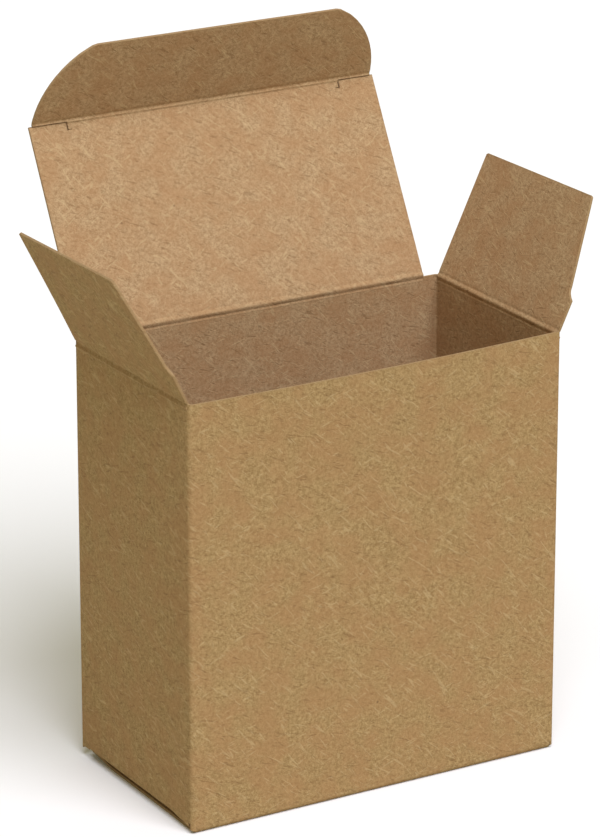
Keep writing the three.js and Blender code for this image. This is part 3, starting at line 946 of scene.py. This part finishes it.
# Colours of the kraft board as a screen shows them, and how much of each is mixed in
OUTSIDE_DARK, OUTSIDE_PALE = (140, 111, 69), (191, 161, 114)
INSIDE_DARK, INSIDE_PALE = (151, 119, 82), (199, 168, 128)
BLOTCH_SHARES = (0.6, 0.4)  # of the mottle and of the grain, in dark and pale
BLOTCH_RANGE = (0.32, 0.68)
WARM, WARM_RANGE, WARM_SHARE = (171, 129, 88), (0.3, 0.7), 0.5
# painted shade in the hollows between fibres
GAP_PAINTED_SHADE, GAP_PAINTED_SHADE_SHARE = (112, 82, 48), 0.34
FIBRE, FIBRE_SHARE = (208, 182, 138), 0.34
SPECK, SPECK_SHARE = (84, 62, 40), 0.5
CREASE_HIGHLIGHT, CREASE_HIGHLIGHT_SHARES = (186, 158, 118), (0.04, 0.2)  # painted highlight along the creases: its share where the board is dark, and where it is pale
CUT_EDGE, CUT_EDGE_SHARES = (150, 125, 90), (0.4, 0.7)
# painted shade along a slit's edges, for the shadow in its gap
SLIT_PAINTED_SHADE, SLIT_PAINTED_SHADE_SHARE = (88, 58, 34), 0.65
BOARD_ROUGHNESS = (0.8, 0.92)
BOARD_SHINE = 0.2


def make_fibre_layer():
    """Short fibres lying one way: thin stretched streaks, each a few tenths of a millimetre wide."""
    group, graph, given, result = new_group(
        "fibre_layer",
        [
            ("Place", "NodeSocketVector"),
            ("Turn", "NodeSocketVector"),
            ("Fineness", "NodeSocketFloat"),
        ],
        [("Streaks", "NodeSocketFloat")],
    )
    turned = graph.node(
        "ShaderNodeVectorRotate",
        {"Vector": given.outputs["Place"], "Rotation": given.outputs["Turn"]},
        rotation_type="EULER_XYZ",
    ).outputs[0]
    stretched = graph.node(
        "ShaderNodeVectorMath", {0: turned, 1: FIBRE_STRETCH}, operation="MULTIPLY"
    ).outputs[0]
    bent = graph.noise(stretched, given.outputs["Fineness"], *FIBRE_NOISE)
    graph.feed(result.inputs["Streaks"], graph.ranged(bent, *FIBRE_CUT))
    return group


def make_kraft_group(fibre_layer):
    """Colour variation and relief of uncoated kraft board."""
    names = ("Cloud", "Mottle", "Grain", "Fibres", "Gaps", "Specks", "Relief")
    group, graph, given, result = new_group(
        "kraft_surface",
        [("Place", "NodeSocketVector")],
        [(name, "NodeSocketFloat") for name in names],
    )
    place = given.outputs["Place"]

    def overlaid(layers):
        """Several layers of fibres, one over the other."""
        over = None
        for turn, fineness in layers:
            inputs = {"Place": place, "Turn": turn, "Fineness": fineness}
            layer = graph.node("ShaderNodeGroup", inputs, node_tree=fibre_layer)
            streaks = layer.outputs["Streaks"]
            over = streaks if over is None else graph.math("MAXIMUM", over, streaks)
        return over

    cells = graph.node("ShaderNodeTexVoronoi", {"Vector": place, "Scale": SPECK_SCALE}, feature="F1")
    speck_size = graph.ranged(cells.outputs["Distance"], *SPECK_EDGE, 1.0, 0.0)
    chosen = graph.node("ShaderNodeSeparateColor", {"Color": cells.outputs["Color"]}).outputs[0]
    made = {
        "Cloud": graph.noise(place, *CLOUD),
        "Mottle": graph.noise(place, *MOTTLE),
        "Grain": graph.noise(place, *GRAIN),
        "Fibres": overlaid(PALE_FIBRES),
        "Gaps": overlaid(SHADED_GAPS),
        "Specks": graph.math("MULTIPLY", speck_size, graph.ranged(chosen, *SPECK_CHOICE)),
    }
    raised = {name: graph.math("MULTIPLY", made[name], share) for name, share in RELIEF_SHARES.items()}
    relief = graph.math("ADD", raised["Mottle"], raised["Grain"])
    relief = graph.math("ADD", relief, raised["Fibres"])
    made["Relief"] = graph.math("SUBTRACT", relief, raised["Gaps"])
    for name, value in made.items():
        graph.feed(result.inputs[name], value)
    return group


def make_kraft_board(kraft_group):
    """Uncoated kraft board: brown outside, slightly paler and pinker inside, duller at a cut edge, with
    painted highlight along the creases and painted shade between fibres and at the slits.
    """
    material = bpy.data.materials.new("kraft_board")
    material.use_nodes = True
    graph = Graph(material.node_tree)
    shader = material.node_tree.nodes["Principled BSDF"]
    place = graph.node("ShaderNodeAttribute", attribute_name="board_place").outputs["Vector"]
    kraft = graph.node("ShaderNodeGroup", {"Place": place}, node_tree=kraft_group)
    coarse, fine = (
        graph.math("MULTIPLY", kraft.outputs[name], share)
        for name, share in zip(("Mottle", "Grain"), BLOTCH_SHARES)
    )
    tone = graph.ranged(graph.math("ADD", coarse, fine), *BLOTCH_RANGE)
    outside = graph.tinted(tone, linear(*OUTSIDE_DARK), linear(*OUTSIDE_PALE))
    inside = graph.tinted(tone, linear(*INSIDE_DARK), linear(*INSIDE_PALE))
    tints = (
        (graph.ranged(kraft.outputs["Cloud"], *WARM_RANGE, 0.0, WARM_SHARE), 1.0, WARM),
        # painted shade in the hollows between fibres
        (kraft.outputs["Gaps"], GAP_PAINTED_SHADE_SHARE, GAP_PAINTED_SHADE),
        (kraft.outputs["Fibres"], FIBRE_SHARE, FIBRE),
        (kraft.outputs["Specks"], SPECK_SHARE, SPECK),
        # painted highlight along the creases
        (graph.mark("crease"), graph.ranged(tone, 0.0, 1.0, *CREASE_HIGHLIGHT_SHARES), CREASE_HIGHLIGHT),
        (graph.mark("cut_edge"), graph.ranged(tone, 0.0, 1.0, *CUT_EDGE_SHARES), CUT_EDGE),
        # painted shade along a slit's edges, for the shadow in its gap
        (graph.mark("painted_shade"), SLIT_PAINTED_SHADE_SHARE, SLIT_PAINTED_SHADE),
    )
    colour = graph.tinted(graph.mark("inner_face"), outside, inside)
    for amount, share, tint in tints:
        colour = graph.tinted(graph.math("MULTIPLY", amount, share), colour, linear(*tint))
    graph.feed(shader.inputs["Base Color"], colour)
    graph.feed(shader.inputs["Roughness"], graph.ranged(tone, 0.0, 1.0, *BOARD_ROUGHNESS))
    shader.inputs["Specular IOR Level"].default_value = BOARD_SHINE
    relief = {"Height": kraft.outputs["Relief"], "Strength": RELIEF_STRENGTH}
    bump = graph.node("ShaderNodeBump", {**relief, "Distance": RELIEF_DEPTH})
    graph.feed(shader.inputs["Normal"], bump.outputs["Normal"])
    return material


def dress():
    """Gives every piece the kraft board."""
    board = make_kraft_board(make_kraft_group(make_fibre_layer()))
    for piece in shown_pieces():
        piece.data.materials.clear()
        piece.data.materials.append(board)


WHITE = (1, 1, 1, 1)
FLOOR_SIZE = 12.0  # in metres
FLOOR_BOUNCE = (0.6, 0.58, 0.46, 1)  # the floor's colour in the light that it throws back
FLOOR_ROUGHNESS = 0.9
FLOOR_SHINE = 0.1


def make_stage():
    """A pale floor that runs far back, under an even white surround."""
    bpy.ops.mesh.primitive_plane_add(size=FLOOR_SIZE, location=(0, 0, 0))
    floor = bpy.context.object
    floor.name = "floor"
    paint = bpy.data.materials.new("floor_paint")
    paint.use_nodes = True
    graph = Graph(paint.node_tree)
    shader = paint.node_tree.nodes["Principled BSDF"]
    colour = graph.tinted(graph.seen_directly(), FLOOR_BOUNCE, WHITE)
    graph.feed(shader.inputs["Base Color"], colour)
    shader.inputs["Roughness"].default_value = FLOOR_ROUGHNESS
    shader.inputs["Specular IOR Level"].default_value = FLOOR_SHINE
    floor.data.materials.append(paint)


SURROUND_LIGHT = 0.335
SURROUND_COLOUR = (1.0, 0.95, 0.64, 1)
KEY_LIGHT = 2.85
KEY_COLOUR = (0.97, 0.98, 1.1)
KEY_ANGLE = math.radians(45)  # how wide the lamp looks, which softens its shadow
KEY_FROM = Vector((-0.05, -0.55, 0.83))


def light_stage():
    """An even surround that shows white, and one wide lamp from the front."""
    world = bpy.data.worlds.new("surround")
    bpy.context.scene.world = world
    world.use_nodes = True
    graph = Graph(world.node_tree)
    background = world.node_tree.nodes["Background"]
    seen = graph.seen_directly()
    strength = graph.node("ShaderNodeMapRange", {"Value": seen, "To Min": SURROUND_LIGHT, "To Max": 1.0})
    graph.feed(background.inputs["Color"], graph.tinted(seen, SURROUND_COLOUR, WHITE))
    graph.feed(background.inputs["Strength"], strength.outputs["Result"])
    lamp = bpy.data.lights.new("key", "SUN")
    lamp.energy = KEY_LIGHT
    lamp.angle = KEY_ANGLE
    lamp.color = KEY_COLOUR
    key = bpy.data.objects.new("key", lamp)
    key.rotation_mode = "QUATERNION"
    key.rotation_quaternion = KEY_FROM.to_track_quat("Z", "Y")
    bpy.context.scene.collection.objects.link(key)


# The camera, as the photograph's perspective gives it
CAMERA_PLACE = Vector((-502.7, -838.9, 423.6))
CAMERA_YAW = math.radians(30.69)
CAMERA_PITCH = math.radians(19.26)
CAMERA_LENS = 196.6
SENSOR = 36.0
CLIP = (0.05, 50.0)  # nearest and farthest distance that is seen, in metres


def place_camera():
    """A camera that looks along the yaw and pitch found for the photograph."""
    data = bpy.data.cameras.new("camera")
    data.lens = CAMERA_LENS
    data.sensor_width = SENSOR
    camera = bpy.data.objects.new("camera", data)
    bpy.context.scene.collection.objects.link(camera)
    forward = Vector(
        (
            math.sin(CAMERA_YAW) * math.cos(CAMERA_PITCH),
            math.cos(CAMERA_YAW) * math.cos(CAMERA_PITCH),
            -math.sin(CAMERA_PITCH),
        )
    )
    camera.location = CAMERA_PLACE * MM
    camera.rotation_mode = "QUATERNION"
    camera.rotation_quaternion = forward.to_track_quat("-Z", "Y")
    data.clip_start, data.clip_end = CLIP
    bpy.context.scene.camera = camera


place_camera()
make_sleeve()
make_glue_flap()
make_top_closure()
make_bottom_closure()
dress()
make_stage()
light_stage()
bpy.context.scene.view_settings.view_transform = "Standard"
